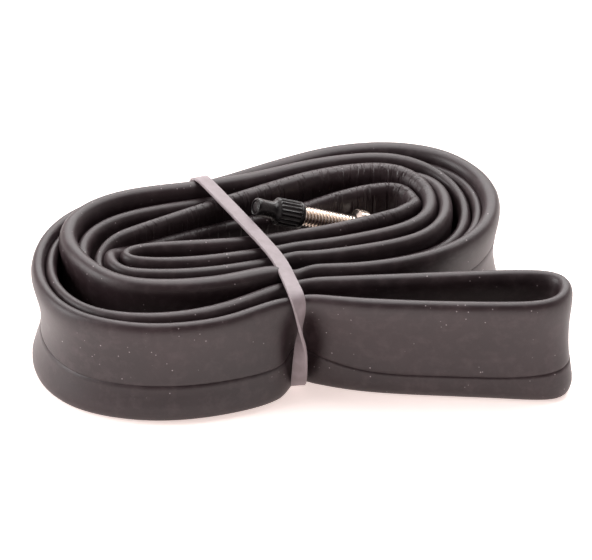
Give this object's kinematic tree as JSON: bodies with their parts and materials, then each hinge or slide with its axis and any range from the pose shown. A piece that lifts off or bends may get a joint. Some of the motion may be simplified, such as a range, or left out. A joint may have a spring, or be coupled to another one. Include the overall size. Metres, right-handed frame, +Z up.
{
  "type": "bicycle inner tube",
  "caption": "Deflated rubber inner tube pressed flat and coiled on edge, held by a flat rubber band, with a threaded metal valve, rim nut and ribbed dust cap.",
  "frame": {"origin": "centre of the coil's outline, on the surface it stands on", "axes": "+X along the coil, towards the open loop; +Y towards the back; +Z up, along the flat tube's width"},
  "size_m": [0.1592, 0.0992, 0.041],
  "materials": {
    "tube_rubber": "matte moulded butyl rubber",
    "foot_rubber": "matte moulded butyl rubber",
    "plated_brass": "nickel plated, bright",
    "bare_brass": "turned brass",
    "seal_rubber": "moulded sealing rubber",
    "cap_plastic": "moulded black plastic, satin",
    "band_rubber": "smooth grey rubber"
  },
  "bodies": {
    "tube": {"tube_body": "tube_rubber", "valve_foot": "foot_rubber", "valve_stem": "plated_brass", "core_body": "bare_brass", "core_gasket": "seal_rubber", "rubber_band": "band_rubber"},
    "cap": {"dust_cap": "cap_plastic"},
    "nut": {"rim_nut": "plated_brass"},
    "pin": {"core_pin": "bare_brass", "core_seal": "seal_rubber"},
    "knurled_nut": {"core_nut": "plated_brass"}
  },
  "joints": [
    {"name": "cap_off", "type": "slide", "parent": "tube", "child": "cap", "axis": [-0.8663, -0.3121, 0.3901], "range_m": [0, 0.022]},
    {"name": "rim_nut_travel", "type": "slide", "parent": "tube", "child": "nut", "axis": [-0.8663, -0.3121, 0.3901], "range_m": [-0.008, 0.0172]},
    {"name": "pin_press", "type": "slide", "parent": "tube", "child": "pin", "axis": [-0.8663, -0.3121, 0.3901], "range_m": [-0.0011, 0]},
    {"name": "core_nut_travel", "type": "slide", "parent": "pin", "child": "knurled_nut", "axis": [-0.8663, -0.3121, 0.3901], "range_m": [0, 0.001]}
  ]
}
